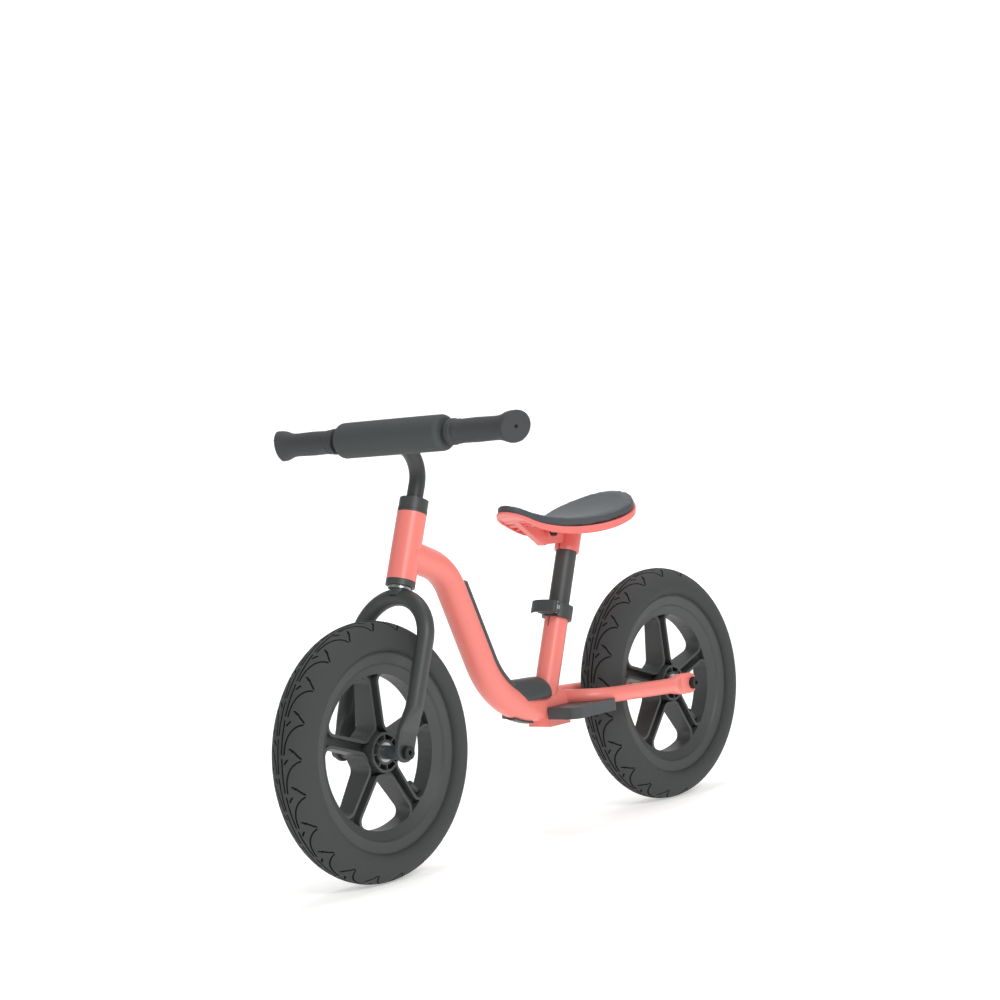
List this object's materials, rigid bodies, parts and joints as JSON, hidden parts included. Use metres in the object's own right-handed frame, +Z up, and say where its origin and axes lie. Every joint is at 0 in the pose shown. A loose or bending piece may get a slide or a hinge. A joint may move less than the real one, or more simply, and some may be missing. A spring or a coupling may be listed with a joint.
{
  "type": "balance bike",
  "caption": "Child's balance bike: low bent-tube frame with footrest, U-shaped fork, spoked wheels, padded handlebar and height-adjustable seat.",
  "frame": {"origin": "on the ground, midway between the two wheels, in the middle plane", "axes": "+X forward, +Y to the rider's left, +Z up"},
  "size_m": [0.834, 0.3742, 0.5125],
  "materials": {
    "frame_paint": "satin coral paint",
    "steering_paint": "satin dark grey paint",
    "cover_plastic": "fine matte grain",
    "wheel_plastic": "fine matte grain",
    "seat_plastic": "semi-gloss",
    "seat_cover": "soft matte foam-backed skin",
    "pad_foam": "closed-cell foam with a smooth skin",
    "grip_rubber": "matte",
    "tyre_rubber": "matte tread",
    "tube_rubber": "smooth",
    "steel": "zinc plated",
    "steel_black": "black oxide"
  },
  "bodies": {
    "frame": {"head_tube": "frame_paint", "main_tube": "frame_paint", "seat_tube": "frame_paint", "chainstays": "frame_paint", "frame_bracket": "frame_paint", "lower_cup": "steering_paint", "upper_cup": "steering_paint", "lower_bearing": "steel", "upper_bearing": "steel", "cover_strip": "cover_plastic", "saddle_cover": "cover_plastic", "cover_clip": "cover_plastic", "footrest_tray": "cover_plastic", "tray_screws": "steel", "seat_clamp": "steering_paint", "clamp_bolt": "steel", "clamp_nut": "steel", "lever_pin": "steel", "rear_axle": "steel", "rear_spacers": "cover_plastic", "rear_axle_bolts": "steel_black"},
    "fork": {"fork_tube": "steering_paint", "steerer": "steering_paint", "crown_race": "steel", "top_ring": "steering_paint", "stem_clamp": "steering_paint", "stem_clamp_bolt": "steel", "front_axle": "steel", "front_spacers": "cover_plastic", "front_axle_bolts": "steel_black"},
    "handlebar": {"stem_tube": "steering_paint", "cross_bar": "steering_paint", "bar_pad": "pad_foam", "grip_left": "grip_rubber", "grip_right": "grip_rubber"},
    "seat": {"seat_post": "steering_paint", "seat_shell": "seat_plastic", "seat_pad": "seat_cover", "seat_bolt": "steel_black", "seat_bolt_nut": "steel_black", "post_plug": "grip_rubber"},
    "clamp_lever": {"clamp_lever": "cover_plastic"},
    "front_wheel": {"front_wheel": "wheel_plastic", "front_tyre": "tyre_rubber", "front_inner_tube": "tube_rubber", "front_valve_cap": "cover_plastic", "front_bearings": "steel"},
    "rear_wheel": {"rear_wheel": "wheel_plastic", "rear_tyre": "tyre_rubber", "rear_inner_tube": "tube_rubber", "rear_valve_cap": "cover_plastic", "rear_bearings": "steel"}
  },
  "joints": [
    {"name": "steering", "type": "hinge", "parent": "frame", "child": "fork", "pos_m": [0.271, 0, 0.146], "axis": [-0.3698, 0, 0.9291], "range_deg": [-80, 80]},
    {"name": "handlebar_height", "type": "slide", "parent": "fork", "child": "handlebar", "axis": [-0.3698, 0, 0.9291], "range_m": [0, 0.03]},
    {"name": "seat_height", "type": "slide", "parent": "frame", "child": "seat", "axis": [-0.3698, 0, 0.9291], "range_m": [-0.05, 0]},
    {"name": "clamp_lever_hinge", "type": "hinge", "parent": "frame", "child": "clamp_lever", "pos_m": [-0.055, 0.017, 0.2685], "axis": [-0.3698, 0, 0.9291], "range_deg": [0, 150]},
    {"name": "front_wheel_spin", "type": "hinge", "parent": "fork", "child": "front_wheel", "pos_m": [0.271, 0, 0.146], "axis": [0, 1, 0], "continuous": true},
    {"name": "rear_wheel_spin", "type": "hinge", "parent": "frame", "child": "rear_wheel", "pos_m": [-0.271, 0, 0.146], "axis": [0, 1, 0], "continuous": true}
  ]
}
